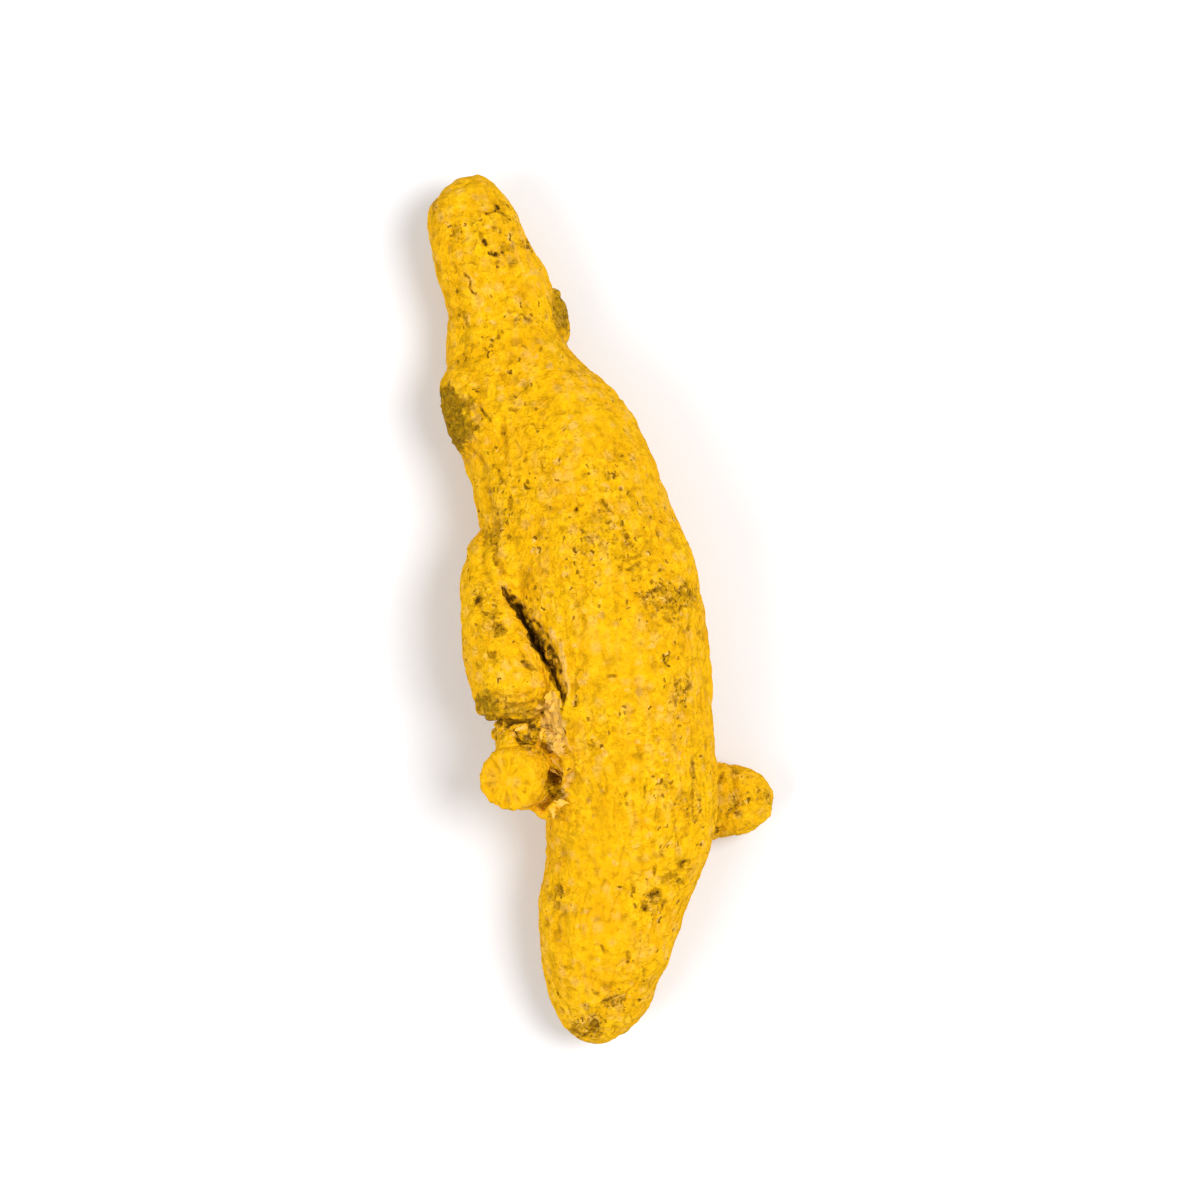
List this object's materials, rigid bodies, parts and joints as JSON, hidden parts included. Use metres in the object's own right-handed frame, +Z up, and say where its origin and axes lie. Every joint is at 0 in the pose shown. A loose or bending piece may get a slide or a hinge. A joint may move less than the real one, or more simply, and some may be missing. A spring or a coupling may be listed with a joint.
{
  "type": "turmeric root",
  "caption": "Dried turmeric root: one knobbly golden rhizome with a side finger, a stub in a torn sheath and a round nodule, lying on its side.",
  "frame": {"origin": "on the surface that the root lies on, under the middle of its bounding box", "axes": "+Y along the root from the thick foot to the narrow tip, +X to the side with the round nodule, +Z up"},
  "size_m": [0.0264, 0.0803, 0.017],
  "materials": {
    "turmeric_skin": "matte"
  },
  "bodies": {
    "root": {"turmeric_root": "turmeric_skin"}
  },
  "joints": []
}
